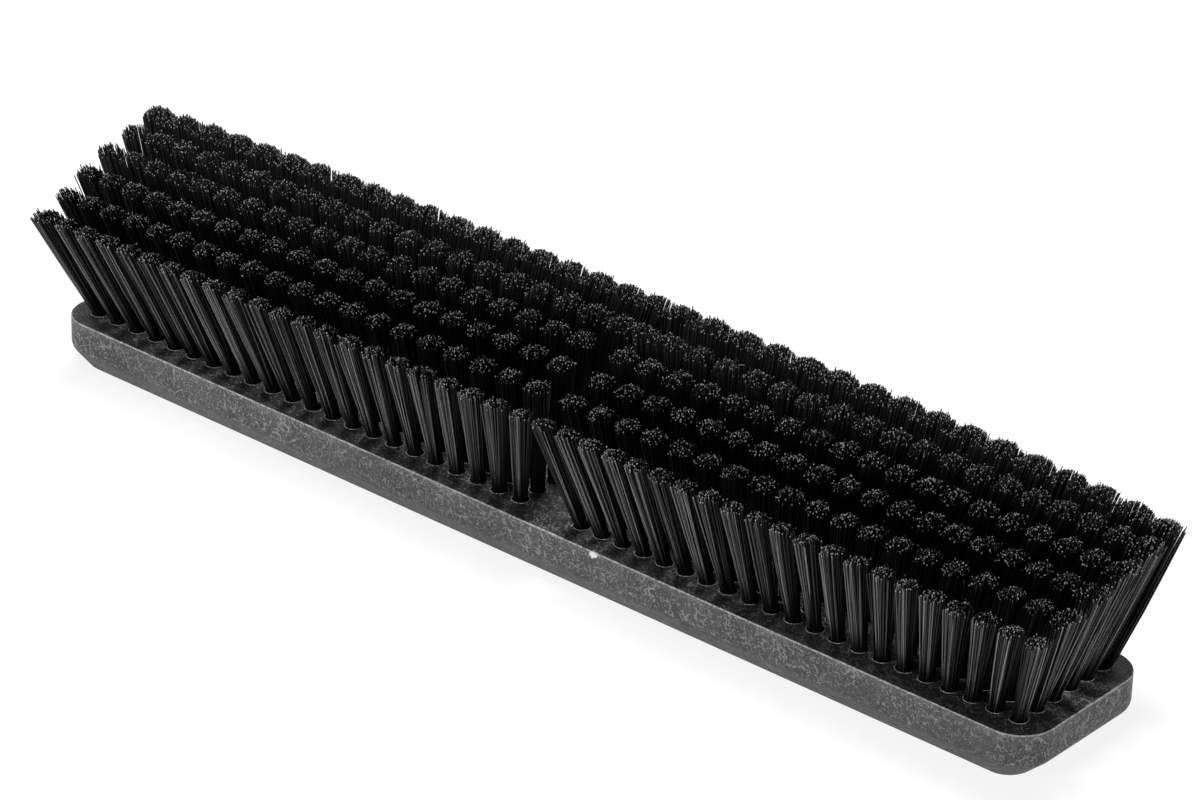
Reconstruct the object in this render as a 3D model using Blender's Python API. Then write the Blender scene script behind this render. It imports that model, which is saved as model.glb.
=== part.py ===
"""Head of a push broom: a moulded block with six rows of fanned bristle tufts.

The head lies on its back with the bristles up. X runs along the block, Y from its
front edge to its back edge, and Z out of the drilled face. The origin is the centre
of the block's back face. Lengths are in metres.
"""

import math

import bmesh
import bpy
from mathutils import Vector

# Block, as moulded
BLOCK_LENGTH = 0.458
BLOCK_WIDTH = 0.070
BLOCK_THICKNESS = 0.020
CORNER_RADIUS = 0.014
CHAMFER_HEIGHT = 0.0077
CHAMFER_INSET = 0.005
CHAMFER_BLEND = 0.003
CORNER_STEPS = 7
BLEND_STEPS = 2

# Drilling of the face
END_MARGIN = 0.0121
PLAIN_GAP = 0.0288
ROW_PITCH = 0.0094
HOLE_DIAMETER = 0.00635
HOLE_DEPTH = 0.007
HOLE_SIDES = 7
LEFT_SHARE = 0.5273

# Slice of block under each half row, and the pocket that takes the slices
SLICE_THICKNESS = 0.010
SLICE_END = 0.0039
SLICE_EDGE = 0.0049
FIT = 0.0003

# Sockets for the handle, on the back under the plain gap
SOCKET_DIAMETER = 0.018
SOCKET_REACH = 0.014
SOCKET_TILT = math.radians(25.0)
SOCKET_OFFSET = 0.0165
SOCKET_SIDES = 12

# Bristles
TRIM_HEIGHT = 0.0526
TRIM_DROP = 0.0024
FAN_ACROSS = 0.0262
STRANDS_PER_TUFT = 2
STRAND_GAP = 0.0005
ROOT_RADIUS = 0.0021
TIP_RADIUS = 0.0047
STRAND_ROOT_BITE = 0.0004

# Drilling table, one line for each row from the front: tufts left and right of the plain
# gap; then for each half, in millimetres, how far the tips stand along X from their holes
# on average, how much more they do so at the half row's ends, how much its middle lags,
# and how far the outermost tips are drawn back across the block
ROWS = (
    (22, 21, (8.5, 11.5, 2.5, 0.0), (12.8, 10.0, 0.0, 0.0)),
    (20, 19, (-0.5, 11.0, 2.0, 0.0), (11.5, 10.5, -2.5, 0.0)),
    (20, 19, (-8.0, 12.5, 2.0, 0.0), (8.5, 10.5, -3.5, 0.0)),
    (20, 19, (-15.0, 13.0, 0.5, 0.0), (4.0, 13.0, -3.5, 0.0)),
    (20, 19, (-16.0, 17.0, -1.0, 0.5), (-1.0, 15.0, -4.0, 1.5)),
    (19, 16, (-18.0, 19.0, 0.0, 3.0), (-3.4, 12.4, 0.0, 6.0)),
)
DRAW_POWER = 4


def plan_outline(length, width, radius, steps):
    """Return the points of a rounded rectangle, counter-clockwise from above."""
    radius = min(radius, length / 2 - 1e-5, width / 2 - 1e-5)
    corners = ((1, 1, 0.0), (-1, 1, 90.0), (-1, -1, 180.0), (1, -1, 270.0))
    points = []
    for sx, sy, start in corners:
        centre = (sx * (length / 2 - radius), sy * (width / 2 - radius))
        for step in range(steps + 1):
            angle = math.radians(start + 90.0 * step / steps)
            points.append((centre[0] + radius * math.cos(angle),
                           centre[1] + radius * math.sin(angle)))
    return points


def skin(bm, rings):
    """Join rings of equal size into a closed tube with flat ends."""
    loops = [[bm.verts.new(p) for p in ring] for ring in rings]
    count = len(loops[0])
    for low, high in zip(loops, loops[1:]):
        for i in range(count):
            j = (i + 1) % count
            bm.faces.new((low[i], low[j], high[j], high[i]))
    bm.faces.new(list(reversed(loops[0])))
    bm.faces.new(loops[-1])


def add_object(name, bm, material=None):
    """Make a named object from a bmesh."""
    bmesh.ops.recalc_face_normals(bm, faces=bm.faces)
    mesh = bpy.data.meshes.new(name)
    bm.to_mesh(mesh)
    bm.free()
    obj = bpy.data.objects.new(name, mesh)
    bpy.context.scene.collection.objects.link(obj)
    if material:
        mesh.materials.append(material)
    return obj


def add_cutter(name, bm, parent):
    """Make a guide shape that only cuts or joins."""
    cutter = add_object(name, bm)
    cutter.parent = parent
    cutter.hide_render = True
    cutter.display_type = 'WIRE'
    return cutter


def combine(obj, other, operation):
    """Add an exact Boolean of the object with another."""
    modifier = obj.modifiers.new(operation.title() + " " + other.name, 'BOOLEAN')
    modifier.operation = operation
    modifier.solver = 'EXACT'
    modifier.object = other
    return modifier


def plastic(name, colour, roughness):
    """Make a plain plastic."""
    material = bpy.data.materials.new(name)
    material.use_nodes = True
    shader = material.node_tree.nodes["Principled BSDF"]
    shader.inputs["Base Color"].default_value = (*colour, 1.0)
    shader.inputs["Roughness"].default_value = roughness
    shader.inputs["Metallic"].default_value = 0.0
    return material


def half_row_ends(half):
    """Return X of the first and last hole of the left (0) or right (1) half."""
    drilled = BLOCK_LENGTH - 2 * END_MARGIN - PLAIN_GAP
    first = -BLOCK_LENGTH / 2 + END_MARGIN
    last = first + drilled * LEFT_SHARE
    if half == 0:
        return first, last
    return last + PLAIN_GAP, BLOCK_LENGTH / 2 - END_MARGIN


def row_y(row):
    """Return Y of a row's holes on the face."""
    return (row - (len(ROWS) - 1) / 2) * ROW_PITCH


def row_fan(row):
    """Return how far a row's tips stand along Y from their holes."""
    return FAN_ACROSS * (2 * row / (len(ROWS) - 1) - 1)


def tufts(row, half):
    """Return the tufts of a half row as (hole on the face, tip) pairs."""
    count = ROWS[row][half]
    shift, spread, lag, draw = (size / 1000 for size in ROWS[row][2 + half])
    fan = row_fan(row)
    first, last = half_row_ends(half)
    pairs = []
    for i in range(count):
        s = 2 * i / (count - 1) - 1
        x = first + (last - first) * i / (count - 1)
        lean = shift + spread * s + lag * (s * s - 1 / 3)
        outer = (1 - s) / 2 if half == 0 else (1 + s) / 2
        along = (x + lean) / (BLOCK_LENGTH / 2)
        tip = Vector((x + lean, row_y(row) + fan - math.copysign(draw, fan) * outer ** DRAW_POWER,
                      BLOCK_THICKNESS + TRIM_HEIGHT - TRIM_DROP * along * along))
        pairs.append((Vector((x, row_y(row), BLOCK_THICKNESS)), tip))
    return pairs


def at_height(hole, tip, z):
    """Return the point of a tuft's axis at height z."""
    return hole.lerp(tip, (z - hole.z) / (tip.z - hole.z))


def slice_border(line, z):
    """Return Y of the border before row `line` at height z, leaning with its rows."""
    edge = (len(ROWS) - 1) / 2 * ROW_PITCH + SLICE_EDGE
    if line == 0:
        return -edge
    if line == len(ROWS):
        return edge
    slope = (row_fan(line - 1) + row_fan(line)) / 2 / TRIM_HEIGHT
    return (row_y(line - 1) + row_y(line)) / 2 + slope * (z - BLOCK_THICKNESS)


def pocket_floor():
    """Return the height of the floor on which the slices lie."""
    return BLOCK_THICKNESS - SLICE_THICKNESS - FIT


def make_block(material):
    """Make the moulded block with its pockets and handle sockets."""
    slope = math.atan2(CHAMFER_INSET, CHAMFER_HEIGHT)
    rise = CHAMFER_BLEND * math.tan(slope / 2)
    profile = [(CHAMFER_INSET, 0.0)]
    for step in range(BLEND_STEPS + 1):
        angle = slope * (1 - step / BLEND_STEPS)
        profile.append((CHAMFER_BLEND * (1 - math.cos(angle)),
                        CHAMFER_HEIGHT + rise - CHAMFER_BLEND * math.sin(angle)))
    profile.append((0.0, BLOCK_THICKNESS))
    bm = bmesh.new()
    skin(bm, [[(x, y, z) for x, y in plan_outline(BLOCK_LENGTH - 2 * inset, BLOCK_WIDTH - 2 * inset,
                                                  CORNER_RADIUS - inset, CORNER_STEPS)]
              for inset, z in profile])
    block = add_object("block", bm, material)

    above = BLOCK_THICKNESS + 0.002
    bm = bmesh.new()
    for half in (0, 1):
        first, last = half_row_ends(half)
        x0, x1 = first - SLICE_END - FIT, last + SLICE_END + FIT
        y0, y1 = slice_border(0, 0.0) - FIT, slice_border(len(ROWS), 0.0) + FIT
        skin(bm, [[(x0, y0, z), (x1, y0, z), (x1, y1, z), (x0, y1, z)]
                  for z in (pocket_floor(), above)])
    combine(block, add_cutter("pocket_guide", bm, block), 'DIFFERENCE')

    bm = bmesh.new()
    middle = (half_row_ends(0)[1] + half_row_ends(1)[0]) / 2
    for side in (-1, 1):
        mouth = Vector((middle, side * SOCKET_OFFSET, 0.0))
        axis = Vector((0.0, -side * math.sin(SOCKET_TILT), math.cos(SOCKET_TILT)))
        across = Vector((0.0, math.cos(SOCKET_TILT), side * math.sin(SOCKET_TILT)))
        rings = []
        for reach in (-SOCKET_DIAMETER, SOCKET_REACH):
            centre = mouth + axis * reach
            rings.append([centre + SOCKET_DIAMETER / 2 * (Vector((math.cos(a), 0, 0)) + across * math.sin(a))
                          for a in (math.tau * (i + 0.5) / SOCKET_SIDES for i in range(SOCKET_SIDES))])
        skin(bm, rings)
    combine(block, add_cutter("socket_guide", bm, block), 'DIFFERENCE')
    return block


def make_half_row(row, half, parent, material):
    """Make one half row: its slice of the block, drilled, with the strands rising from the holes."""
    name = "tuft_row_%d_%s" % (row + 1, ("left", "right")[half])
    first, last = half_row_ends(half)
    top, low = BLOCK_THICKNESS, BLOCK_THICKNESS - SLICE_THICKNESS
    gap0 = 0.0 if row == 0 else FIT / 2
    gap1 = 0.0 if row == len(ROWS) - 1 else FIT / 2
    section = [(slice_border(row, low) + gap0, low), (slice_border(row + 1, low) - gap1, low),
               (slice_border(row + 1, top) - gap1, top), (slice_border(row, top) + gap0, top)]
    bm = bmesh.new()
    skin(bm, [[(x, y, z) for y, z in section] for x in (first - SLICE_END, last + SLICE_END)])
    piece = add_object(name, bm, material)
    piece.parent = parent

    pairs = tufts(row, half)
    floor = top - HOLE_DEPTH
    bm = bmesh.new()
    for hole, tip in pairs:
        rings = []
        for z in (floor, top + 0.001):
            centre = at_height(hole, tip, z)
            rings.append([(centre.x + HOLE_DIAMETER / 2 * math.cos(a), centre.y + HOLE_DIAMETER / 2 * math.sin(a), z)
                          for a in (math.tau * i / HOLE_SIDES - math.pi / 2 for i in range(HOLE_SIDES))])
        skin(bm, rings)
    combine(piece, add_cutter(name + "_drill", bm, piece), 'DIFFERENCE')

    bm = bmesh.new()
    for hole, tip in pairs:
        for side in range(STRANDS_PER_TUFT):
            skin(bm, [strand_section(hole, tip, z, side) for z in (floor - STRAND_ROOT_BITE, tip.z)])
    combine(piece, add_cutter(name + "_strands", bm, piece), 'UNION')
    return piece


def strand_section(hole, tip, z, side):
    """Return the four corners of one strand at height z; a tuft is split into two half rounds."""
    floor = BLOCK_THICKNESS - HOLE_DEPTH
    radius = ROOT_RADIUS + (TIP_RADIUS - ROOT_RADIUS) * (z - floor) / (tip.z - floor)
    centre = at_height(hole, tip, z)
    sign = (-1, 1)[side]
    inner, outer = sign * STRAND_GAP / 2, sign * 0.95 * radius
    corners = [(inner, -0.92), (outer, -0.45), (outer, 0.45), (inner, 0.92)]
    return [(centre.x + x, centre.y + y * radius, z) for x, y in corners]


def least_gap():
    """Return the least distance between strands, measured on points round each section."""
    def ring(hole, tip, share, side):
        z = BLOCK_THICKNESS + (tip.z - BLOCK_THICKNESS) * share
        corners = [Vector(p) for p in strand_section(hole, tip, z, side)]
        return [a.lerp(b, k / 4) for a, b in zip(corners, corners[1:] + corners[:1]) for k in range(4)]

    least = math.inf
    for share in (-0.1, 0.0, 0.25, 0.5, 0.75, 1.0):
        rows = [[ring(h, t, share, side) for half in (0, 1) for h, t in tufts(row, half)
                 for side in range(STRANDS_PER_TUFT)] for row in range(len(ROWS))]
        for row, rings in enumerate(rows):
            for i, a in enumerate(rings):
                near = rings[i + 1:i + 2]
                if row + 1 < len(rows):
                    near = near + [b for b in rows[row + 1] if abs(b[0].x - a[0].x) < 0.012]
                for b in near:
                    least = min(least, min((p - q).length for p in a for q in b))
    return least


def main():
    """Build the head."""
    for obj in list(bpy.data.objects):
        bpy.data.objects.remove(obj, do_unlink=True)
    foam = plastic("block_plastic", (0.055, 0.055, 0.057), 0.55)
    filament = plastic("filament_plastic", (0.022, 0.022, 0.023), 0.5)

    head = bpy.data.objects.new("broom_head", None)
    bpy.context.scene.collection.objects.link(head)
    block = make_block(foam)
    block.parent = head
    for row in range(len(ROWS)):
        for half in (0, 1):
            make_half_row(row, half, head, filament)

    count = sum(STRANDS_PER_TUFT * (line[0] + line[1]) for line in ROWS)
    print("tufts %d, strands %d, least gap between strands %.2f mm"
          % (count // STRANDS_PER_TUFT, count, least_gap() * 1000))


if __name__ == "__main__":
    main()
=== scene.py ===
"""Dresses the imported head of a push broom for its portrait.

The head lies on its back with the bristles up. X runs along the block, Y from its front edge
to its back edge, and Z out of the drilled face. Lengths are in metres. The block becomes one
drilled moulding, and each half row of tufts becomes single filaments.
"""

from __future__ import annotations

import logging
import math
import random
from collections.abc import Iterable, Mapping
from dataclasses import dataclass, field
from enum import Enum

import bmesh
import bpy
from mathutils import Matrix, Vector

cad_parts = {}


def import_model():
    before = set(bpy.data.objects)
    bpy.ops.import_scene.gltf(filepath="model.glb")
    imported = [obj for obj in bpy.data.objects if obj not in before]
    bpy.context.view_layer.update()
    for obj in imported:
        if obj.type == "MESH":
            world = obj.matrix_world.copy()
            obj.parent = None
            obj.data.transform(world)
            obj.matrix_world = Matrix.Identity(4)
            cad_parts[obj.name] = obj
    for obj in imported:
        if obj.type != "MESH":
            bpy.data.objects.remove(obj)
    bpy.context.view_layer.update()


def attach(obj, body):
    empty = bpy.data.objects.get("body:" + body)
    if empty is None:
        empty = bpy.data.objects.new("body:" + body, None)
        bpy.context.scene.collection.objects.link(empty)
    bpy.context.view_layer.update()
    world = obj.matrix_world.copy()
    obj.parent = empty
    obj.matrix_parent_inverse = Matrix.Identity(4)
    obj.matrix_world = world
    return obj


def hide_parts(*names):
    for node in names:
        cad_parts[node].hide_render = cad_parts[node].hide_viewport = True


log = logging.getLogger("broom_head")

Triple = tuple[float, float, float]
Colour = tuple[float, float, float]
Shade = tuple[float, float, float, float]

UNTURNED: Triple = (0.0, 0.0, 0.0)
NOISE_MIDDLE = 0.5
SAME_HEIGHT = 1e-6
SAME_POINT = 1e-7


class Half(Enum):
    """The half of the block that a row lies in, either side of the plain gap."""

    LEFT = 0
    RIGHT = 1


@dataclass(frozen=True)
class Lean:
    """How the tips of a half row stand from their holes, and how its outer end is drawn back."""

    shift: float
    spread: float
    lag: float
    draw: float = 0.0

    def along(self, place: float) -> float:
        """Return the lean along X at a place from -1 to 1 along the half row."""
        mean_square = 1 / 3
        return self.shift + self.spread * place + self.lag * (place * place - mean_square)


@dataclass(frozen=True)
class Tuft:
    """One tuft: the middle of its hole on the face, and the middle of its tips."""

    hole: Vector
    tip: Vector

    def at(self, share: float) -> Vector:
        """Return the point of the tuft's axis at a share of its height over the face."""
        return self.hole.lerp(self.tip, share)


@dataclass(frozen=True)
class Row:
    """Drilling and filling of one row: its tufts and their lean, left and right of the gap."""

    counts: tuple[int, int]
    leans: tuple[Lean, Lean]
    filaments: int = 90
    sides: int = 6
    splay: tuple[float, float] = (0.0046, 0.0052)
    opening: float = 1.0
    corners: float = 1.0
    crown: float = 0.0006
    dome: float = 0.0026
    parted: float = 0.16
    loose: float = 1.0
    fans: tuple[float, float] = (1.0, 1.35)
    seam_spread: tuple[float, ...] = ()


@dataclass(frozen=True)
class Plan:
    """Measures that the block and its tufts share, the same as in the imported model."""

    length: float = 0.458
    width: float = 0.070
    thickness: float = 0.020
    corner_radius: float = 0.014
    chamfer_height: float = 0.0077
    chamfer_inset: float = 0.005
    end_margin: float = 0.0121
    plain_gap: float = 0.0288
    row_pitch: float = 0.0094
    left_share: float = 0.5273
    trim_height: float = 0.0526
    trim_drop: float = 0.0024
    fan_across: float = 0.0262
    draw_power: int = 4
    half_depth: float = 0.0549
    rows: tuple[Row, ...] = (
        Row((22, 21), (Lean(0.0085, 0.0115, 0.0025), Lean(0.0128, 0.0100, 0.0)),
            splay=(0.0042, 0.0047), fans=(1.5, 1.05)),
        Row((20, 19), (Lean(-0.0005, 0.0110, 0.0020), Lean(0.0115, 0.0105, -0.0025)),
            splay=(0.0044, 0.0054)),
        Row((20, 19), (Lean(-0.0080, 0.0125, 0.0020), Lean(0.0085, 0.0105, -0.0035)),
            splay=(0.0046, 0.0056)),
        Row((20, 19), (Lean(-0.0150, 0.0130, 0.0005), Lean(0.0040, 0.0130, -0.0035)),
            splay=(0.0049, 0.0059)),
        Row((20, 19), (Lean(-0.0160, 0.0170, -0.0010, 0.0005), Lean(-0.0010, 0.0150, -0.0040, 0.0015)),
            filaments=100, splay=(0.0054, 0.0060), dome=0.0028, seam_spread=(0.30, 0.15)),
        Row((19, 16), (Lean(-0.0180, 0.0190, 0.0, 0.0030), Lean(-0.0034, 0.0124, 0.0, 0.0060)),
            filaments=225, sides=4, splay=(0.0078, 0.0053), opening=0.40, corners=0.75,
            crown=0.0014, dome=0.0030, parted=0.0, loose=0.4, fans=(1.0, 0.75),
            seam_spread=(0.20, 0.08)),
    )

    def ends(self, half: Half) -> tuple[float, float]:
        """Return X of the first and last hole of a half row.

        Args:
            half: The side of the plain gap.

        Returns:
            X of the hole nearest the low end, and of the one nearest the high end.
        """
        drilled = self.length - 2 * self.end_margin - self.plain_gap
        first = -self.length / 2 + self.end_margin
        last = first + drilled * self.left_share
        if half is Half.LEFT:
            return first, last
        return last + self.plain_gap, self.length / 2 - self.end_margin

    def tufts(self, row: int, half: Half) -> list[Tuft]:
        """Return the tufts of a half row, from the low end of X to the high end.

        Args:
            row: The row's number, from 0 at the front.
            half: The side of the plain gap.

        Returns:
            One tuft for each hole.
        """
        last_row = len(self.rows) - 1
        count = self.rows[row].counts[half.value]
        lean = self.rows[row].leans[half.value]
        low, high = self.ends(half)
        y = (row - last_row / 2) * self.row_pitch
        fan = self.fan_across * (2 * row / last_row - 1)
        tufts = []
        for step in range(count):
            share = step / (count - 1)
            outer = 1 - share if half is Half.LEFT else share
            x = low + (high - low) * share
            tip_x = x + lean.along(2 * share - 1)
            tip_y = y + fan - math.copysign(lean.draw, fan) * outer ** self.draw_power
            along = 2 * tip_x / self.length
            top = self.thickness + self.trim_height - self.trim_drop * along * along
            tufts.append(Tuft(Vector((x, y, self.thickness)), Vector((tip_x, tip_y, top))))
        return tufts

    def all_tufts(self) -> list[Tuft]:
        """Return every tuft of the head, row by row."""
        return [tuft for row in range(len(self.rows)) for half in Half for tuft in self.tufts(row, half)]


@dataclass(frozen=True)
class Waves:
    """Soft noise: its waves a metre, its octaves and how far it is bent."""

    scale: float
    octaves: float = 2.0
    bend: float = 0.0


@dataclass(frozen=True)
class Step:
    """A soft step: where it starts and ends, and the levels before and after it."""

    low: float
    high: float
    before: float = 0.0
    after: float = 1.0


class Signal:
    """A shader socket that takes part in Python sums."""

    def __init__(self, bench: Bench, socket: bpy.types.NodeSocket) -> None:
        """Keep the socket and the bench that its nodes stand on."""
        self.bench = bench
        self.socket = socket

    def _sum(self, operation: str, first: Signal | float, second: Signal | float) -> Signal:
        """Add a Math node and return its result.

        Args:
            operation: The Math node's operation.
            first: The first value or signal.
            second: The second value or signal.

        Returns:
            The node's result.
        """
        return self.bench.node("ShaderNodeMath", {"operation": operation}, {0: first, 1: second})

    def __add__(self, other: Signal | float) -> Signal:
        """Return the sum."""
        return self._sum('ADD', self, other)

    def __radd__(self, other: float) -> Signal:
        """Return the sum."""
        return self._sum('ADD', other, self)

    def __sub__(self, other: Signal | float) -> Signal:
        """Return the difference."""
        return self._sum('SUBTRACT', self, other)

    def __rsub__(self, other: float) -> Signal:
        """Return the difference from a number."""
        return self._sum('SUBTRACT', other, self)

    def __mul__(self, other: Signal | float) -> Signal:
        """Return the product."""
        return self._sum('MULTIPLY', self, other)

    def __rmul__(self, other: float) -> Signal:
        """Return the product."""
        return self._sum('MULTIPLY', other, self)

    def __pow__(self, other: Signal | float) -> Signal:
        """Return the power."""
        return self._sum('POWER', self, other)

    def size(self) -> Signal:
        """Return the value without its sign."""
        return self._sum('ABSOLUTE', self, 0.0)

    def least(self, other: Signal | float) -> Signal:
        """Return the lower of two."""
        return self._sum('MINIMUM', self, other)

    def most(self, other: Signal | float) -> Signal:
        """Return the higher of two."""
        return self._sum('MAXIMUM', self, other)


class Bench:
    """The node tree of a material or world, on which one method stands any node."""

    def __init__(self, owner: bpy.types.Material | bpy.types.World) -> None:
        """Start the tree with its own shader and output.

        Args:
            owner: The material or world that the tree belongs to.
        """
        owner.use_nodes = True
        self.tree = owner.node_tree
        self.output = next(n for n in self.tree.nodes if n.bl_idname.startswith("ShaderNodeOutput"))
        self.shader = next(n for n in self.tree.nodes if n != self.output)

    def node(self, kind: str, settings: Mapping[str, object],
             values: Mapping[int | str, object], output: int | str = 0) -> Signal:
        """Stand a node on the bench.

        Args:
            kind: The node's type.
            settings: Its properties, set before its sockets.
            values: Numbers, tuples or signals for its inputs, by name or place.
            output: The name or place of the output that is wanted.

        Returns:
            The signal of that output.
        """
        node = self.tree.nodes.new(kind)
        for name, value in settings.items():
            setattr(node, name, value)
        for place, value in values.items():
            self.feed(node.inputs[place], value)
        return Signal(self, node.outputs[output])

    def feed(self, socket: bpy.types.NodeSocket, value: object) -> None:
        """Link a signal to a socket, or set the socket's own value.

        Args:
            socket: The input.
            value: A signal, a number or a tuple.
        """
        if isinstance(value, Signal):
            self.tree.links.new(value.socket, socket)
        else:
            socket.default_value = value

    def set(self, **values: object) -> None:
        """Feed the shader's sockets, with underscores for the spaces in their names."""
        for name, value in values.items():
            self.feed(self.shader.inputs[name.replace("_", " ")], value)

    def own(self) -> Signal:
        """Return what the tree's own shader gives."""
        return Signal(self, self.shader.outputs[0])

    def show(self, surface: Signal) -> None:
        """Send a shader to the output."""
        self.feed(self.output.inputs["Surface"], surface)

    def place(self) -> Signal:
        """Return the place on the object, in metres."""
        return self.node("ShaderNodeTexCoord", {}, {}, "Object")

    def part(self, place: Signal, axis: str) -> Signal:
        """Return the part of a place along X, Y or Z."""
        return self.node("ShaderNodeSeparateXYZ", {}, {0: place}, axis)

    def written(self, name: str) -> Signal:
        """Return a value that is written on the mesh."""
        return self.node("ShaderNodeAttribute", {"attribute_name": name}, {}, "Fac")

    def cells(self, place: Signal, scale: float) -> Signal:
        """Return the distance to the nearest of many scattered points, in cells."""
        return self.node("ShaderNodeTexVoronoi", {}, {"Vector": place, "Scale": scale}, "Distance")

    def moved(self, place: Signal, turn: Triple, stretch: Triple) -> Signal:
        """Return a place turned, in degrees, and stretched.

        Args:
            place: The place to start from.
            turn: The turn about X, Y and Z, in degrees.
            stretch: The scale along X, Y and Z after the turn.

        Returns:
            The new place.
        """
        turned = self.node("ShaderNodeMapping", {"vector_type": 'POINT'},
                           {"Vector": place, "Rotation": tuple(math.radians(a) for a in turn)})
        return self.node("ShaderNodeVectorMath", {"operation": 'MULTIPLY'}, {0: turned, 1: stretch})

    def noise(self, place: Signal, waves: Waves) -> Signal:
        """Return soft noise from 0 to 1.

        Args:
            place: The place to read it at.
            waves: Its scale, octaves and bend.

        Returns:
            The noise.
        """
        return self.node("ShaderNodeTexNoise", {},
                         {"Vector": place, "Scale": waves.scale, "Detail": waves.octaves,
                          "Distortion": waves.bend}, "Fac")

    def step(self, value: Signal, step: Step) -> Signal:
        """Return a soft step between two levels.

        Args:
            value: The signal that drives it.
            step: Where it lies, and its levels.

        Returns:
            The level.
        """
        return self.node("ShaderNodeMapRange", {"interpolation_type": 'SMOOTHSTEP', "clamp": True},
                         {"Value": value, "From Min": step.low, "From Max": step.high,
                          "To Min": step.before, "To Max": step.after})

    def blend(self, share: Signal | float, first: object, second: object) -> Signal:
        """Return a mix of two colours.

        Args:
            share: How much of the second colour there is.
            first: A colour or a signal.
            second: A colour or a signal.

        Returns:
            The mixed colour.
        """
        first, second = (c if isinstance(c, Signal) else (*c, 1.0) for c in (first, second))
        # A Mix node keeps its colours on inputs 6 and 7 and on output 2.
        return self.node("ShaderNodeMix", {"data_type": 'RGBA', "clamp_factor": True},
                         {0: share, 6: first, 7: second}, 2)

    def bump(self, height: Signal, depth: float, strength: float) -> Signal:
        """Return the normal over a height from 0 to 1.

        Args:
            height: The height.
            depth: The depth of the relief, in metres.
            strength: How much of the relief shows.

        Returns:
            The normal.
        """
        return self.node("ShaderNodeBump", {},
                         {"Height": height, "Distance": depth, "Strength": strength})


@dataclass(frozen=True)
class Net:
    """A net of rub marks: its turn, its marks a metre, and their width in the noise's range."""

    turn: Triple
    scale: float
    width: float


@dataclass(frozen=True)
class Nick:
    """The pale nick on the front edge: its middle, its stretch, its rim and how ragged it is."""

    place: Triple = (0.0404, -0.035, 0.0188)
    stretch: Triple = (0.60, 1.0, 0.85)
    rim: Step = Step(0.0010, 0.0015, 1.0, 0.0)
    tears: Waves = Waves(700.0)
    ragged: float = 0.0026
    colour: Colour = (0.66, 0.66, 0.66)

    def mask(self, bench: Bench, place: Signal) -> Signal:
        """Return 1 on the nick and 0 off it.

        Args:
            bench: The material's bench.
            place: The place on the block.

        Returns:
            The mask.
        """
        middle = tuple(part * by for part, by in zip(self.place, self.stretch))
        away = bench.node("ShaderNodeVectorMath", {"operation": 'DISTANCE'},
                          {0: bench.moved(place, UNTURNED, self.stretch), 1: middle}, "Value")
        return bench.step(away + (bench.noise(place, self.tears) - NOISE_MIDDLE) * self.ragged, self.rim)


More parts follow.
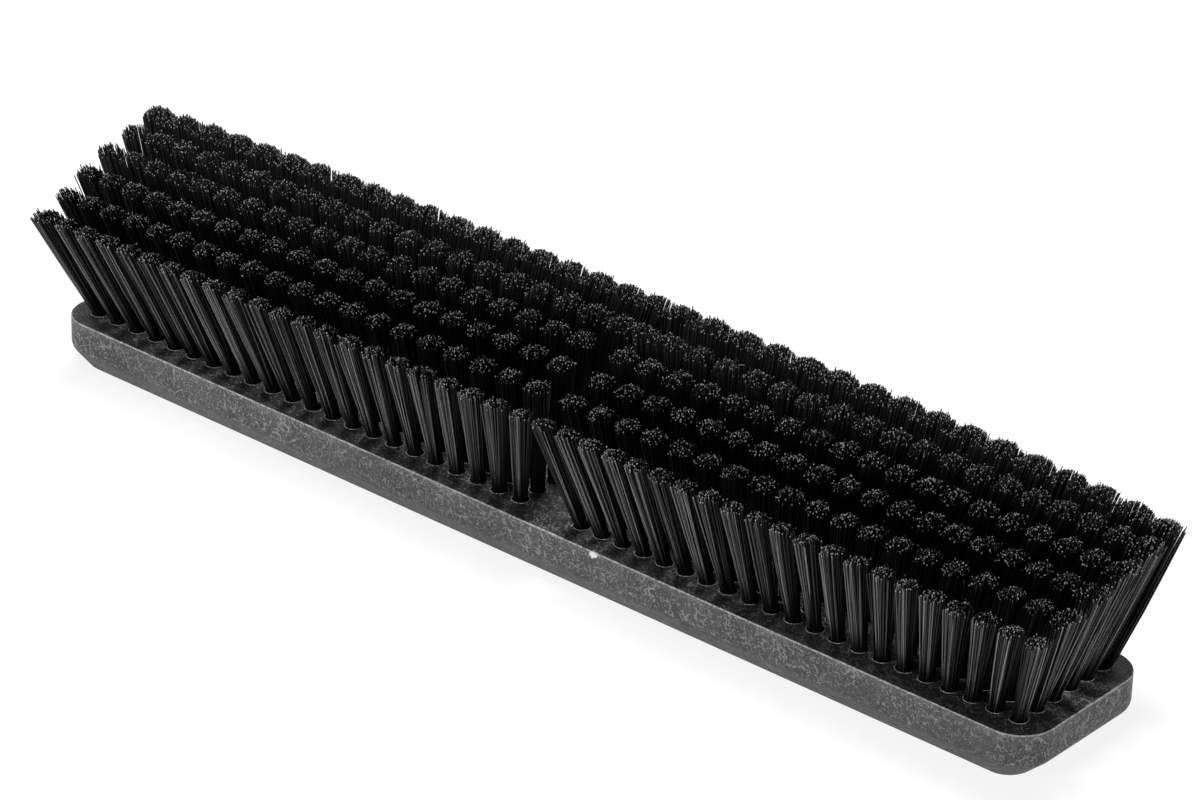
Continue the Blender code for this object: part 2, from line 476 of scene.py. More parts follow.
@dataclass(frozen=True)
class BlockPlastic:
    """Dark moulded plastic, scuffed and abraded in its box, with painted shade on its drilled face, a
    rim edge that is partly abraded and partly painted highlight, and painted highlights on the lips of
    its holes.
    """

    plan: Plan
    colour: Colour = (0.050, 0.050, 0.051)
    dark_tone: float = 0.62
    light_tone: float = 1.40
    # Painted shade: the drilled face is darkened in place of the shade of the bristles over it.
    face_shade_tone: float = 0.45
    face_shade_cover: float = 0.85
    face_shade_edge: tuple[float, float] = (0.0005, 0.0001)
    crease_blur: float = 0.0003
    pale: Colour = (0.26, 0.26, 0.265)
    # Pale colour for the rim edge, partly abrasion and partly painted highlight, and for the painted
    # highlight on the hole lips.
    abrasion_and_highlight_colour: Colour = (0.60, 0.60, 0.60)
    gloss: float = 0.20
    roughness: float = 0.52
    grain_roughness: float = 0.12
    mark_roughness: float = 0.10
    relief_depth: float = 0.00008
    relief_strength: float = 0.6
    grain_relief: float = 0.35
    mottle_relief: float = 0.3
    mark_relief: float = 0.25
    nick_relief: float = 0.6
    mottle: Waves = Waves(55.0, 4.0)
    grain: Waves = Waves(1400.0, 3.0)
    drag: Waves = Waves(900.0)
    drag_stretch: Triple = (0.06, 0.5, 1.0)
    uneven_share: float = 0.35
    uneven: Step = Step(0.36, 0.64)
    nets: tuple[Net, ...] = (
        Net(UNTURNED, 190.0, 0.019),
        Net((40.0, 15.0, 70.0), 230.0, 0.018),
        Net((75.0, 50.0, 20.0), 280.0, 0.019),
        Net((20.0, 80.0, 50.0), 150.0, 0.014),
        Net((65.0, 30.0, 35.0), 420.0, 0.025),
        Net((35.0, 60.0, 10.0), 620.0, 0.034),
    )
    net_stretch: Triple = (1.0, 1.0, 0.38)
    net_bend: float = 0.25
    net_core: float = 0.35
    break_stretch: Triple = (1.3, 1.1, 1.2)
    break_scale: float = 1.9
    breaks: Step = Step(0.51, 0.57)
    scratch_turns: tuple[Triple, ...] = ((25.0, 50.0, 0.0), (70.0, 20.0, 0.0), (10.0, 80.0, 0.0))
    scratch_stretch: Triple = (1.0, 1.0, 0.09)
    scratch_scale: float = 170.0
    scratch_width: Step = Step(0.022, 0.045, 1.0, 0.0)
    scratch_spread: Waves = Waves(120.0)
    scratch_patches: Step = Step(0.44, 0.56)
    scratch_strength: float = 1.8
    patch_waves: Waves = Waves(38.0, 3.0)
    patches: Step = Step(0.38, 0.66, 0.70, 1.0)
    speck_scale: float = 560.0
    speck_size: Step = Step(0.06, 0.17, 1.0, 0.0)
    speck_spread: Waves = Waves(170.0)
    speck_patches: Step = Step(0.48, 0.58)
    mark_strength: float = 0.78
    chamfer_rest: float = 0.4
    tatters: Waves = Waves(900.0, 3.0)
    # Pale rim edge: partly real abrasion, partly painted highlight of the rounded rim.
    edge_width: Step = Step(0.00018, 0.00062, 1.0, 0.0)
    edge_tatters: Step = Step(0.36, 0.60, 0.35, 1.0)
    edge_strength: float = 0.75
    halo_width: Step = Step(0.0005, 0.0045, 0.16, 0.0)
    halo_patches: Step = Step(0.35, 0.65)
    # Painted highlight on the lips round the tuft holes, patchy with the tatters noise.
    lip_highlight: Step = Step(0.35, 0.6, 0.10, 0.5)
    nick: Nick = Nick()

    def fibres(self, bench: Bench, place: Signal, net: Net) -> Signal:
        """Return a net of short, thin rub marks.

        Args:
            bench: The material's bench.
            place: The place on the block.
            net: The net's turn, scale and width.

        Returns:
            1 on a mark and 0 off it.
        """
        spot = bench.moved(place, net.turn, self.net_stretch)
        line = (bench.noise(spot, Waves(net.scale, 1.0, self.net_bend)) - NOISE_MIDDLE).size()
        broken = bench.noise(bench.moved(place, net.turn, self.break_stretch),
                             Waves(net.scale * self.break_scale, 1.0))
        return (bench.step(line, Step(net.width * self.net_core, net.width, 1.0, 0.0))
                * bench.step(broken, self.breaks))

    def scratches(self, bench: Bench, place: Signal, turn: Triple) -> Signal:
        """Return sparse, straight scratches.

        Args:
            bench: The material's bench.
            place: The place on the block.
            turn: The turn that sets their direction, in degrees.

        Returns:
            1 on a scratch and 0 off it.
        """
        cell = bench.cells(bench.moved(place, turn, self.scratch_stretch), self.scratch_scale)
        return (bench.step(cell, self.scratch_width)
                * bench.step(bench.noise(place, self.scratch_spread), self.scratch_patches))

    def marks(self, bench: Bench, place: Signal, below: Signal) -> Signal:
        """Return all rub marks, scratches and specks, fewer on the chamfer.

        Args:
            bench: The material's bench.
            place: The place on the block.
            below: 1 on the chamfer and 0 over it.

        Returns:
            1 on a mark and 0 off it.
        """
        first, *others = [self.fibres(bench, place, net) for net in self.nets]
        for other in others:
            first = first.most(other)
        for turn in self.scratch_turns:
            first = first.most(self.scratches(bench, place, turn) * self.scratch_strength)
        patches = bench.step(bench.noise(place, self.patch_waves), self.patches)
        specks = (bench.step(bench.cells(place, self.speck_scale), self.speck_size)
                  * bench.step(bench.noise(place, self.speck_spread), self.speck_patches))
        return (first * patches * self.mark_strength).most(specks) * (1.0 - below * self.chamfer_rest)

    def rim(self, bench: Bench, place: Signal, height: Signal) -> Signal:
        """Return the distance from the edge between the face and the walls, in metres.

        Args:
            bench: The material's bench.
            place: The place on the block.
            height: The height of that place.

        Returns:
            The distance.
        """
        plan = self.plan
        across, deep = (bench.part(place, axis).size() - (side / 2 - plan.corner_radius)
                        for axis, side in (("X", plan.length), ("Y", plan.width)))
        outer = (across.most(0.0) ** 2.0 + deep.most(0.0) ** 2.0) ** 0.5
        inward = plan.corner_radius - outer - across.most(deep).least(0.0)
        return inward.size().most((plan.thickness - height).size())

    def make(self) -> bpy.types.Material:
        """Make the finish.

        Returns:
            The material.
        """
        material = bpy.data.materials.new("block_plastic_rubbed")
        bench = Bench(material)
        place = bench.place()
        height = bench.part(place, "Z")
        top, crease = self.plan.thickness, self.plan.chamfer_height
        # Mask of the drilled face, which gets the painted shade.
        face_shade_mask = bench.step(height, Step(*(top - under for under in self.face_shade_edge)))
        below = bench.step(height, Step(crease - self.crease_blur, crease + self.crease_blur, 1.0, 0.0))
        mottle = bench.noise(place, self.mottle)
        grain = bench.noise(place, self.grain)
        tatters = bench.noise(place, self.tatters)
        drag = bench.noise(bench.moved(place, UNTURNED, self.drag_stretch), self.drag)
        marks = self.marks(bench, place, below)
        nick = self.nick.mask(bench, place)

        distance = self.rim(bench, place, height)
        # Rim edge: partly abrasion, partly painted highlight.
        rim_abrasion_and_highlight = bench.step(distance, self.edge_width) * bench.step(tatters, self.edge_tatters)
        halo = bench.step(distance, self.halo_width) * bench.step(mottle, self.halo_patches)
        # Painted highlight on the hole lips.
        lip = bench.written("lip") * bench.step(tatters, self.lip_highlight)

        share = self.uneven_share
        uneven = mottle * share + grain * (1.0 - share - below * share) + drag * below * share
        # dark and light are random tones of the plastic; face is the darker colour of the painted shade
        # on the drilled face.
        dark, light, face = (tuple(c * tone for c in self.colour)
                             for tone in (self.dark_tone, self.light_tone, self.face_shade_tone))
        tone = bench.blend(bench.step(uneven, self.uneven), dark, light)
        # Painted shade on the drilled face.
        tone = bench.blend(face_shade_mask * self.face_shade_cover, tone, face)
        tone = bench.blend(marks, tone, self.pale)
        tone = bench.blend(halo, tone, self.pale)
        # Pale colour over the rim edge, abrasion and painted highlight, and over the hole lips, painted
        # highlight.
        tone = bench.blend((rim_abrasion_and_highlight * self.edge_strength).most(lip), tone, self.abrasion_and_highlight_colour)
        tone = bench.blend(nick, tone, self.nick.colour)
        relief = (grain * self.grain_relief + mottle * self.mottle_relief
                  - marks * self.mark_relief - nick * self.nick_relief)
        bench.set(Base_Color=tone, Metallic=0.0, Specular_IOR_Level=self.gloss,
                  Roughness=(self.roughness + (grain - NOISE_MIDDLE) * self.grain_roughness
                             + marks * self.mark_roughness),
                  Normal=bench.bump(relief, self.relief_depth, self.relief_strength))
        return material


@dataclass(frozen=True)
class FilamentPlastic:
    """Black extruded filament, satin along its side and paler at its cut end, with painted light on the
    sides of filaments that face out of the head and painted shade on the rest.
    """

    deep: Colour = (0.002, 0.002, 0.0021)
    # Pale colour of the painted light on the sides of outward filaments.
    pale: Colour = (0.165, 0.165, 0.166)
    cut: Colour = (0.32, 0.32, 0.322)
    gloss: float = 0.08
    roughness: float = 0.36
    streak_roughness: float = 0.2
    cut_roughness: float = 0.20
    streaks: Waves = Waves(1400.0)
    streak_stretch: Triple = (1.0, 1.0, 0.12)
    streak_least: float = 0.55
    streak_gain: float = 0.9
    root_shade: Step = Step(0.04, 0.32, 0.10, 1.0)
    cut_end: Step = Step(0.990, 0.997)
    draw_scale: float = 1000.0
    drawn: Step = Step(0.46, 0.96, 0.03, 1.0)

    def make(self) -> bpy.types.Material:
        """Make the finish.

        Returns:
            The material.
        """
        material = bpy.data.materials.new("filament_plastic_satin")
        bench = Bench(material)
        tone = bench.written("tone")
        reach = bench.written("reach")
        streak = bench.noise(bench.moved(bench.place(), UNTURNED, self.streak_stretch), self.streaks)
        # Painted light and shade: the tone is pale on filaments facing out of the head and near black on
        # the rest; streaks vary it, and the root is darkened as painted shade.
        paleness = tone * (self.streak_least + streak * self.streak_gain)
        side = bench.blend(paleness * bench.step(reach, self.root_shade), self.deep, self.pale)
        ends = bench.step(reach, self.cut_end)
        draw = bench.node("ShaderNodeTexWhiteNoise", {"noise_dimensions": '1D'},
                          {"W": tone * self.draw_scale}, "Value")
        colour = bench.blend(ends * bench.step(draw, self.drawn), side, self.cut)
        bench.set(Base_Color=colour, Metallic=0.0, Specular_IOR_Level=self.gloss,
                  Roughness=(self.roughness + (streak - NOISE_MIDDLE) * self.streak_roughness
                             + ends * self.cut_roughness))
        return material


def baked(source: bpy.types.Object, name: str) -> bpy.types.Object:
    """Turn an object with its modifiers into a plain mesh object.

    Args:
        source: The object; it is removed.
        name: The new object's name.

    Returns:
        The new object, linked to the scene at the origin.
    """
    graph = bpy.context.evaluated_depsgraph_get()
    mesh = bpy.data.meshes.new_from_object(source.evaluated_get(graph))
    mesh.name = name
    bpy.data.objects.remove(source, do_unlink=True)
    obj = bpy.data.objects.new(name, mesh)
    bpy.context.scene.collection.objects.link(obj)
    return obj


def shown(bm: bmesh.types.BMesh, name: str) -> bpy.types.Object:
    """Turn a bmesh into an object of the scene.

    Args:
        bm: The bmesh; it is freed.
        name: The object's name.

    Returns:
        The object.
    """
    mesh = bpy.data.meshes.new(name)
    bm.to_mesh(mesh)
    bm.free()
    obj = bpy.data.objects.new(name, mesh)
    bpy.context.scene.collection.objects.link(obj)
    return obj


def pin(bm: bmesh.types.BMesh, stations: list[tuple[Vector, float]], sides: int,
        turn: Matrix | None = None) -> None:
    """Add a closed round pin to a bmesh.

    Args:
        bm: The bmesh that gets it.
        stations: The middle and radius of each ring, from end to end.
        sides: The number of sides.
        turn: The turn of the rings; level when it is left out.
    """
    turn = turn or Matrix.Identity(4)
    (middle, radius), *others = stations
    verts = bmesh.ops.create_circle(bm, segments=sides, radius=radius,
                                    matrix=Matrix.Translation(middle) @ turn)["verts"]
    first = ring_edges(verts)
    for following, wider in others:
        grown = bmesh.ops.extrude_edge_only(bm, edges=ring_edges(verts))["geom"]
        verts = [v for v in grown if isinstance(v, bmesh.types.BMVert)]
        bmesh.ops.scale(bm, vec=(wider / radius,) * 3, verts=verts, space=Matrix.Translation(-middle))
        bmesh.ops.translate(bm, vec=following - middle, verts=verts)
        middle, radius = following, wider
    for edges in (first, ring_edges(verts)):
        bmesh.ops.contextual_create(bm, geom=edges)


def ring_edges(verts: list[bmesh.types.BMVert]) -> list[bmesh.types.BMEdge]:
    """Return the edges that join vertices of one ring, each once and always in the same order."""
    ring = set(verts)
    return list(dict.fromkeys(e for v in verts for e in v.link_edges if e.other_vert(v) in ring))


@dataclass
class Block:
    """The moulded block with its tuft holes and handle sockets."""

    plan: Plan
    finish: BlockPlastic
    corner_segments: int = 12
    end_inset: float = 0.0085
    rim_round: float = 0.0005
    rim_segments: int = 3
    crease_round: float = 0.0016
    crease_segments: int = 3
    foot_round: float = 0.0008
    foot_segments: int = 2
    hole_diameter: float = 0.00635
    hole_depth: float = 0.007
    hole_sides: int = 18
    flare: float = 0.0002
    lip_least: float = 0.00001
    lip_sides: int = 14
    lip_profile: tuple[tuple[float, float], ...] = (
        (0.0, -0.0002), (0.00008, 0.00015), (0.00024, 0.00012), (0.0004, -0.0001))
    socket_diameter: float = 0.018
    socket_reach: float = 0.014
    socket_tilt: float = math.radians(25.0)
    socket_offset: float = 0.0165
    socket_sides: int = 48
    crease_angle: float = math.radians(35.0)

    def shell(self) -> bmesh.types.BMesh:
        """Make the block's closed outer shape.

        Returns:
            The shape before it is drilled.
        """
        plan = self.plan
        bm = bmesh.new()
        bmesh.ops.create_grid(bm, x_segments=1, y_segments=1, size=0.5)
        bmesh.ops.scale(bm, vec=(plan.length, plan.width, 1.0), verts=bm.verts[:])
        bmesh.ops.bevel(bm, geom=bm.verts[:], offset=plan.corner_radius, offset_type='OFFSET',
                        affect='VERTICES', segments=self.corner_segments, profile=0.5, material=-1)
        bmesh.ops.inset_region(bm, faces=bm.faces[:], thickness=plan.chamfer_inset,
                               use_boundary=True, use_even_offset=True)
        back = [v for v in bm.verts if not v.is_boundary]
        shorter = (plan.length / 2 - self.end_inset) / (plan.length / 2 - plan.chamfer_inset)
        bmesh.ops.scale(bm, vec=(shorter, 1.0, 1.0), verts=back)
        bmesh.ops.translate(bm, vec=(0.0, 0.0, plan.chamfer_height),
                            verts=[v for v in bm.verts if v.is_boundary])
        rim = bmesh.ops.extrude_edge_only(bm, edges=[e for e in bm.edges if e.is_boundary])["geom"]
        bmesh.ops.translate(bm, vec=(0.0, 0.0, plan.thickness - plan.chamfer_height),
                            verts=[v for v in rim if isinstance(v, bmesh.types.BMVert)])
        bmesh.ops.contextual_create(bm, geom=[e for e in bm.edges if e.is_boundary])
        bmesh.ops.recalc_face_normals(bm, faces=bm.faces[:])
        for height, size, segments in ((plan.thickness, self.rim_round, self.rim_segments),
                                       (plan.chamfer_height, self.crease_round, self.crease_segments),
                                       (0.0, self.foot_round, self.foot_segments)):
            level = [e for e in bm.edges if all(abs(v.co.z - height) < SAME_HEIGHT for v in e.verts)]
            bmesh.ops.bevel(bm, geom=level, offset=size, offset_type='OFFSET', affect='EDGES',
                            segments=segments, profile=0.5, material=-1)
        return bm

    def drills(self) -> bmesh.types.BMesh:
        """Make the drills, one leaning with each tuft, each flared at the face.

        Returns:
            The drills as closed pins.
        """
        bm = bmesh.new()
        radius, rise = self.hole_diameter / 2, self.plan.trim_height
        levels = ((-self.hole_depth, radius), (-self.flare, radius), (self.flare, radius + self.flare))
        for tuft in self.plan.all_tufts():
            pin(bm, [(tuft.at(level / rise), size) for level, size in levels], self.hole_sides)
        bmesh.ops.recalc_face_normals(bm, faces=bm.faces[:])
        return bm

    def sockets(self) -> bmesh.types.BMesh:
        """Make the two slanted cores that leave the handle sockets.

        Returns:
            The cores as closed pins.
        """
        bm = bmesh.new()
        middle = (self.plan.ends(Half.LEFT)[1] + self.plan.ends(Half.RIGHT)[0]) / 2
        for side in (-1, 1):
            turn = Matrix.Rotation(side * self.socket_tilt, 4, 'X')
            axis = turn @ Vector((0.0, 0.0, 1.0))
            mouth = Vector((middle, side * self.socket_offset, 0.0))
            pin(bm, [(mouth + axis * reach, self.socket_diameter / 2)
                     for reach in (-self.socket_diameter, self.socket_reach)], self.socket_sides, turn)
        bmesh.ops.recalc_face_normals(bm, faces=bm.faces[:])
        return bm

    def lips(self) -> bmesh.types.BMesh:
        """Make the low lips that drilling has raised round the tuft holes.

        Returns:
            One closed ring for each hole.
        """
        bm = bmesh.new()
        radius = self.hole_diameter / 2
        loop = [bm.verts.new((radius + out, 0.0, rise)) for out, rise in self.lip_profile]
        edges = [bm.edges.new(pair) for pair in zip(loop, loop[1:] + loop[:1])]
        bmesh.ops.spin(bm, geom=[*loop, *edges], cent=(0.0, 0.0, 0.0), axis=(0.0, 0.0, 1.0),
                       angle=math.tau, steps=self.lip_sides, use_merge=True)
        bmesh.ops.recalc_face_normals(bm, faces=bm.faces[:])
        pattern = bm.faces[:]
        for tuft in self.plan.all_tufts():
            copied = bmesh.ops.duplicate(bm, geom=pattern)["geom"]
            verts = [v for v in copied if isinstance(v, bmesh.types.BMVert)]
            bmesh.ops.translate(bm, vec=tuft.hole, verts=verts)
        bmesh.ops.delete(bm, geom=pattern, context='FACES')
        return bm

    def add_lips(self, block: bpy.types.Object) -> None:
        """Set the lips on the drilled block and mark their faces.

        Args:
            block: The drilled block.
        """
        extra = shown(self.lips(), "hole_lips")
        bm = bmesh.new()
        bm.from_mesh(block.data)
        bm.from_mesh(extra.data)
        bm.to_mesh(block.data)
        bm.free()
        bpy.data.objects.remove(extra, do_unlink=True)
        layer = block.data.attributes.new("lip", 'FLOAT', 'FACE')
        for face, mark in zip(block.data.polygons, layer.data):
            mark.value = float(face.center.z > self.plan.thickness + self.lip_least)

    def build(self) -> bpy.types.Object:
        """Make the block: mould it, drill it, set its lips and dress it.

        Returns:
            The finished piece.
        """
        raw = shown(self.shell(), "block_raw")
        cutters = [shown(self.drills(), "tuft_drills"), shown(self.sockets(), "socket_cores")]
        for cutter in cutters:
            cut = raw.modifiers.new(cutter.name, 'BOOLEAN')
            cut.operation, cut.solver, cut.object = 'DIFFERENCE', 'EXACT', cutter
        block = baked(raw, "block_moulding")
        for cutter in cutters:
            bpy.data.objects.remove(cutter, do_unlink=True)
        self.add_lips(block)
        block.data.shade_smooth()
        block.data.set_sharp_from_angle(angle=self.crease_angle)
        even = block.modifiers.new("Even shading", 'WEIGHTED_NORMAL')
        even.keep_sharp = True
        block.data.materials.clear()
        block.data.materials.append(self.finish.make())
        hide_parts("block")
        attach(block, "root")
        return block


@dataclass(frozen=True)
class Filament:
    """One filament: its points from inside the hole to its tip, and how pale its side is."""

    points: list[Vector]
    tone: float


@dataclass(frozen=True)
class Paleness:
    """How pale filaments are, from low to high; a high power keeps most of them near the low end."""

    low: float
    high: float
    power: float

    def draw(self, chance: random.Random) -> float:
        """Return the tone of one filament."""
        return self.low + (self.high - self.low) * chance.random() ** self.power


@dataclass
class TuftRow:
    """One half row of tufts, each a bundle of single filaments."""

    plan: Plan
    row: int
    half: Half
    seeds: tuple[int, int, int] = (7, 100, 10)
    thickness: float = 0.00044
    end_width: float = 0.84
    root_radius: float = 0.00242
    ragged: float = 0.00044
    highest: float = 0.0019
    # How far out a filament must sit to get the pale tones of painted light.
    facing: float = 0.45
    scatter: float = 0.00031
    stray_share: float = 0.04
    stray_reach: tuple[float, float] = (0.0004, 0.0014)
    split_reach: tuple[float, float] = (0.0003, 0.0009)
    packing: float = 0.56
    twist: float = 0.25
    wave: float = 0.00030
    ripples: float = 5.0
    ripple_height: tuple[float, float] = (0.3, 0.7)
    fan_across: float = 0.5
    fan_filling: float = 0.8
    # Near-black tones of painted shade for filaments inside the head, and pale tones of painted light
    # for those facing out; both vary at random.
    dark: Paleness = Paleness(0.0, 0.045, 1.0)
    outer_painted_light: Paleness = Paleness(0.0, 1.0, 2.0)
    stations: tuple[float, ...] = (-0.10, 0.10, 0.42, 0.74, 0.994, 1.0)

    @property
    def node(self) -> str:
        """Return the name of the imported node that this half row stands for."""
        return f"tuft_row_{self.row + 1}_{self.half.name.lower()}"

    @property
    def sides(self) -> int:
        """Return the number of sides of each filament."""
        return self.plan.rows[self.row].sides

    def end(self, number: int, count: int) -> int:
        """Tell whether a tuft stands at an end of the head.

        Args:
            number: The tuft's place in the half row.
            count: The number of tufts in the half row.

        Returns:
            1 at the high end of the head, -1 at the low end, 0 elsewhere.
        """
        if self.half is Half.LEFT:
            return -1 if number == 0 else 0
        return 1 if number == count - 1 else 0

    def outward(self, number: int, count: int) -> Vector:
        """Return the way in which a tuft faces out of the head, or zero inside it.

        Args:
            number: The tuft's place in the half row.
            count: The number of tufts in the half row.

        Returns:
            The way along X and Y.
        """
        border = {0: -1, len(self.plan.rows) - 1: 1}.get(self.row, 0)
        return Vector((self.end(number, count), border)).normalized()

    def fan(self, number: int, count: int) -> float:
        """Return how much wider a tuft fans out than the others of its row."""
        end = self.end(number, count)
        return self.plan.rows[self.row].fans[end > 0] if end else 1.0

    def splay(self, number: int, count: int) -> tuple[float, float]:
        """Return the half widths of a tuft at its tips.

        Tufts beside the plain gap spread into it, and those at the ends of the head fan out.

        Args:
            number: The tuft's place in the half row.
            count: The number of tufts in the half row.

        Returns:
            The half widths along X and Y.
        """
        row = self.plan.rows[self.row]
        across, deep = row.splay
        from_seam = count - 1 - number if self.half is Half.LEFT else number
        extra = row.seam_spread[from_seam] if from_seam < len(row.seam_spread) else 0.0
        fan = self.fan(number, count)
        return across * (1 + extra) * fan ** self.fan_across, deep * fan

    def cut(self, tuft: Tuft, way: Vector, splay: tuple[float, float], parting: Vector,
            chance: random.Random) -> tuple[Vector, float]:
        """Find where one filament of a tuft was cut.

        Args:
            tuft: The tuft.
            way: The filament's place in it, at most 1 from the middle.
            splay: The tuft's half widths at the tips.
            parting: How far its two sides stand apart from the middle, and which way.
            chance: The source of its unevenness.

        Returns:
            The tip's place about the middle of the tips, and its height over them.
        """
        row = self.plan.rows[self.row]
        tip = Vector((way.x * splay[0] + chance.gauss(0.0, self.scatter),
                      way.y * splay[1] + chance.gauss(0.0, self.scatter)))
        tip += parting if way.dot(parting) > 0.0 else -parting
        rise = row.crown + chance.gauss(0.0, self.ragged) * row.loose - row.dome * way.length_squared
        if chance.random() < self.stray_share:
            tip += way.normalized() * chance.uniform(*self.stray_reach)
            rise += chance.uniform(*self.stray_reach) * row.loose
        deepest = self.plan.half_depth
        tip.y = min(deepest, max(-deepest, tip.y + tuft.tip.y)) - tuft.tip.y
        return tip, min(self.highest, rise)

    def path(self, tuft: Tuft, way: Vector, tip: Vector, rise: float,
             chance: random.Random) -> list[Vector]:
        """Lead one filament from its hole to where it was cut.

        Args:
            tuft: The tuft.
            way: The filament's place in it, at most 1 from the middle.
            tip: Its tip's place about the middle of the tips.
            rise: Its tip's height over them.
            chance: The source of its waviness.

        Returns:
            Its points, one for each station.
        """
        opening = self.plan.rows[self.row].opening
        height = tuft.tip.z - tuft.hole.z
        bend = Vector((chance.gauss(0.0, self.wave), chance.gauss(0.0, self.wave)))
        ripple = chance.uniform(*self.ripple_height)
        points = []
        for share in self.stations:
            offset = (way * self.root_radius).lerp(tip, max(share, 0.0) ** opening)
            offset += bend * math.sin(math.pi * share) * (1 + ripple * math.cos(self.ripples * share))
            point = tuft.at(share * (1 + rise / height) if share > 0 else share)
            points.append(point + Vector((offset.x, offset.y, 0.0)))
        return points

    def bundle(self, tuft: Tuft, total: int, splay: tuple[float, float], outward: Vector,
               chance: random.Random) -> list[Filament]:
        """Lay out the filaments of one tuft.

        Args:
            tuft: The tuft.
            total: The number of its filaments.
            splay: Its half widths at the tips.
            outward: The way in which it faces out of the head.
            chance: The source of its unevenness.

        Returns:
            The filaments.
        """
        row = self.plan.rows[self.row]
        golden = math.pi * (3 - math.sqrt(5))
        start = chance.uniform(0.0, math.tau)
        parting = Vector((1.0, 0.0))
        parting.rotate(Matrix.Rotation(chance.uniform(0.0, math.tau), 2))
        parting *= chance.uniform(*self.split_reach) if chance.random() < row.parted else 0.0
        filaments = []
        for number in range(total):
            radius = ((number + 0.5) / total) ** self.packing
            angle = start + number * golden + chance.gauss(0.0, self.twist)
            way = radius * Vector([math.copysign(abs(c) ** row.corners, c)
                                   for c in (math.cos(angle), math.sin(angle))])
            points = self.path(tuft, way, *self.cut(tuft, way, splay, parting, chance), chance)
            # Painted light on filaments facing out of the head, painted shade on the rest.
            paleness = self.outer_painted_light if way.dot(outward) > self.facing else self.dark
            filaments.append(Filament(points, paleness.draw(chance)))
        return filaments

    def build(self, material: bpy.types.Material) -> bpy.types.Object:
        """Make the half row.

        Args:
            material: The filaments' material.

        Returns:
            The finished piece.
        """
        seed, row_step, half_step = self.seeds
        chance = random.Random(seed + row_step * self.row + half_step * self.half.value)
        curve = bpy.data.curves.new(self.node + "_paths", 'CURVE')
        curve.dimensions = '3D'
        curve.bevel_depth = self.thickness / 2
        # A curve is bevelled with four sides at resolution 0, and two more at every step.
        curve.bevel_resolution = (self.sides - 4) // 2
        curve.use_fill_caps = True
        tones = []
        widths = [1.0] * (len(self.stations) - 1) + [self.end_width]
        tufts = self.plan.tufts(self.row, self.half)
        for number, tuft in enumerate(tufts):
            splay, outward = self.splay(number, len(tufts)), self.outward(number, len(tufts))
            fan = self.fan(number, len(tufts))
            total = round(self.plan.rows[self.row].filaments * fan ** self.fan_filling)
            for filament in self.bundle(tuft, total, splay, outward, chance):
                spline = curve.splines.new('POLY')
                spline.points.add(len(filament.points) - 1)
                spline.points.foreach_set("co", [c for p in filament.points for c in (*p, 1.0)])
                spline.points.foreach_set("radius", widths)
                tones.append(filament.tone)
        holder = bpy.data.objects.new(self.node + "_paths", curve)
        bpy.context.scene.collection.objects.link(holder)
        piece = baked(holder, self.node + "_filaments")
        self.mark(piece.data, tones)
        piece.data.shade_smooth()
        piece.data.materials.clear()
        piece.data.materials.append(material)
        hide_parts(self.node)
        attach(piece, "root")
        return piece

    def mark(self, mesh: bpy.types.Mesh, tones: list[float]) -> None:
        """Write each filament's tone and each ring's reach on the mesh, and close its ends.

        Args:
            mesh: The half row's mesh, which holds all end caps before all tubes.
            tones: The tone of each filament.
        """
        rings = len(self.stations)
        caps = [tone for tone in reversed(tones) for _ in range(2 * self.sides)]
        tubes = [tone for tone in tones for _ in range(rings * self.sides)]
        ends = [reach for _ in tones for reach in (1.0, 0.0) for _ in range(self.sides)]
        along = [max(share, 0.0) for _ in tones for share in self.stations for _ in range(self.sides)]
        for name, values in (("tone", caps + tubes), ("reach", ends + along)):
            layer = mesh.attributes.new(name, 'FLOAT', 'POINT')
            layer.data.foreach_set("value", values)
        bm = bmesh.new()
        bm.from_mesh(mesh)
        bmesh.ops.remove_doubles(bm, verts=bm.verts[:], dist=SAME_POINT)
        bm.to_mesh(mesh)
        bm.free()


@dataclass(frozen=True)
class Lamp:
    """A soft studio lamp: where it stands, what it is, how bright it is."""

    name: str
    place: Vector
    size: float
    power: float


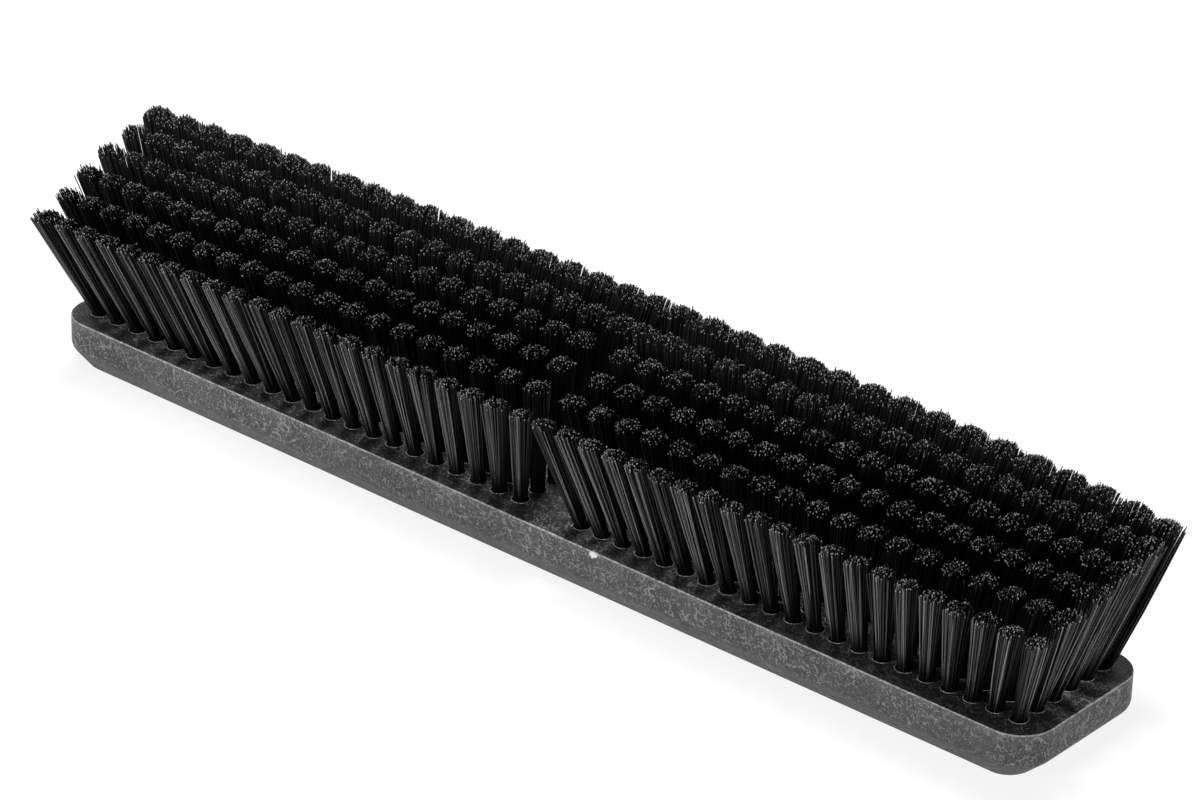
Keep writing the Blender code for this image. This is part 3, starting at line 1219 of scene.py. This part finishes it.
@dataclass
class Studio:
    """The pale floor, the lamps, the white surround and the camera."""

    aim: Vector = field(default_factory=lambda: Vector((-0.00176, 0.01715, 0.045)))
    azimuth: float = math.radians(39.7046)
    elevation: float = math.radians(27.5786)
    roll: float = math.radians(1.812)
    distance: float = 1.79867
    lens: float = 150.0
    sensor: float = 36.0
    sight: float = 100.0
    floor_size: float = 30.0
    floor_gap: float = 0.0002
    white: Shade = (1.0, 1.0, 1.0, 1.0)
    surround: float = 0.04
    floor_matt: Shade = (0.82, 0.82, 0.82, 1.0)
    floor_dim: Shade = (0.22, 0.22, 0.22, 1.0)
    floor_glow: float = 0.86
    lamps: tuple[Lamp, ...] = (
        Lamp("top", Vector((-0.1, 0.0, 3.0)), 1.2, 98.0),
        Lamp("front", Vector((-0.62, -1.7, 0.16)), 0.6, 26.0),
        Lamp("right", Vector((1.8, -0.5, 0.16)), 0.6, 16.5),
    )

    def camera(self) -> None:
        """Stand the camera where the photograph was taken."""
        data = bpy.data.cameras.new("camera")
        data.lens = self.lens
        data.sensor_width = self.sensor
        data.clip_end = self.sight
        obj = bpy.data.objects.new("camera", data)
        away = Vector((math.sin(self.azimuth) * math.cos(self.elevation),
                       -math.cos(self.azimuth) * math.cos(self.elevation), math.sin(self.elevation)))
        turn = (-away).to_track_quat('-Z', 'Y').to_matrix().to_4x4()
        obj.matrix_world = (Matrix.Translation(self.aim + away * self.distance) @ turn
                            @ Matrix.Rotation(self.roll, 4, 'Z'))
        bpy.context.scene.collection.objects.link(obj)
        bpy.context.scene.camera = obj

    def lights(self) -> None:
        """Hang the soft lamps, each facing the head."""
        for lamp in self.lamps:
            data = bpy.data.lights.new(lamp.name, 'AREA')
            data.shape = 'DISK'
            data.size = lamp.size
            data.energy = lamp.power
            obj = bpy.data.objects.new(lamp.name, data)
            turn = (self.aim - lamp.place).to_track_quat('-Z', 'Y').to_matrix().to_4x4()
            obj.matrix_world = Matrix.Translation(lamp.place) @ turn
            bpy.context.scene.collection.objects.link(obj)

    def show_two(self, bench: Bench, seen: Signal) -> None:
        """Show one shader to the camera, and the tree's own to all other light.

        Args:
            bench: The material's or world's bench.
            seen: What the camera sees, straight or in gloss and glass.
        """
        straight, gloss, glass = (bench.node("ShaderNodeLightPath", {}, {}, f"Is {ray} Ray")
                                  for ray in ("Camera", "Glossy", "Transmission"))
        bench.show(bench.node("ShaderNodeMixShader", {},
                              {0: straight.most(gloss).most(glass), 1: bench.own(), 2: seen}))

    def world(self) -> None:
        """Make the surround white to look at and plain as light."""
        world = bpy.data.worlds.new("surround")
        bpy.context.scene.world = world
        bench = Bench(world)
        bench.set(Color=self.white, Strength=self.surround)
        white = bench.node("ShaderNodeBackground", {}, {"Color": self.white, "Strength": 1.0})
        self.show_two(bench, white)

    def floor(self) -> None:
        """Lay a pale floor that looks white but for the head's shadow."""
        bm = bmesh.new()
        bmesh.ops.create_grid(bm, x_segments=1, y_segments=1, size=self.floor_size / 2)
        bmesh.ops.translate(bm, vec=(0.0, 0.0, -self.floor_gap), verts=bm.verts[:])
        floor = shown(bm, "floor")
        material = bpy.data.materials.new("floor_white")
        bench = Bench(material)
        bench.set(Base_Color=self.floor_matt, Roughness=1.0, Specular_IOR_Level=0.0)
        dim = bench.node("ShaderNodeBsdfDiffuse", {}, {"Color": self.floor_dim})
        glow = bench.node("ShaderNodeEmission", {}, {"Color": self.white, "Strength": self.floor_glow})
        both = bench.node("ShaderNodeAddShader", {}, {0: dim, 1: glow})
        self.show_two(bench, both)
        floor.data.materials.append(material)

    def build(self) -> None:
        """Set up the whole studio."""
        self.camera()
        self.lights()
        self.world()
        self.floor()
        bpy.context.scene.view_settings.view_transform = 'Standard'


def main() -> None:
    """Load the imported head, dress it and set it in the studio."""
    logging.basicConfig(level=logging.INFO, format="%(message)s")
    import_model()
    plan = Plan()
    block = Block(plan, BlockPlastic(plan)).build()
    log.info("%s: %d faces", block.name, len(block.data.polygons))
    filament = FilamentPlastic().make()
    for row in range(len(plan.rows)):
        for half in Half:
            piece = TuftRow(plan, row, half).build(filament)
            log.info("%s: %d faces", piece.name, len(piece.data.polygons))
    Studio().build()
    log.info("studio: set")


if __name__ == "__main__":
    main()
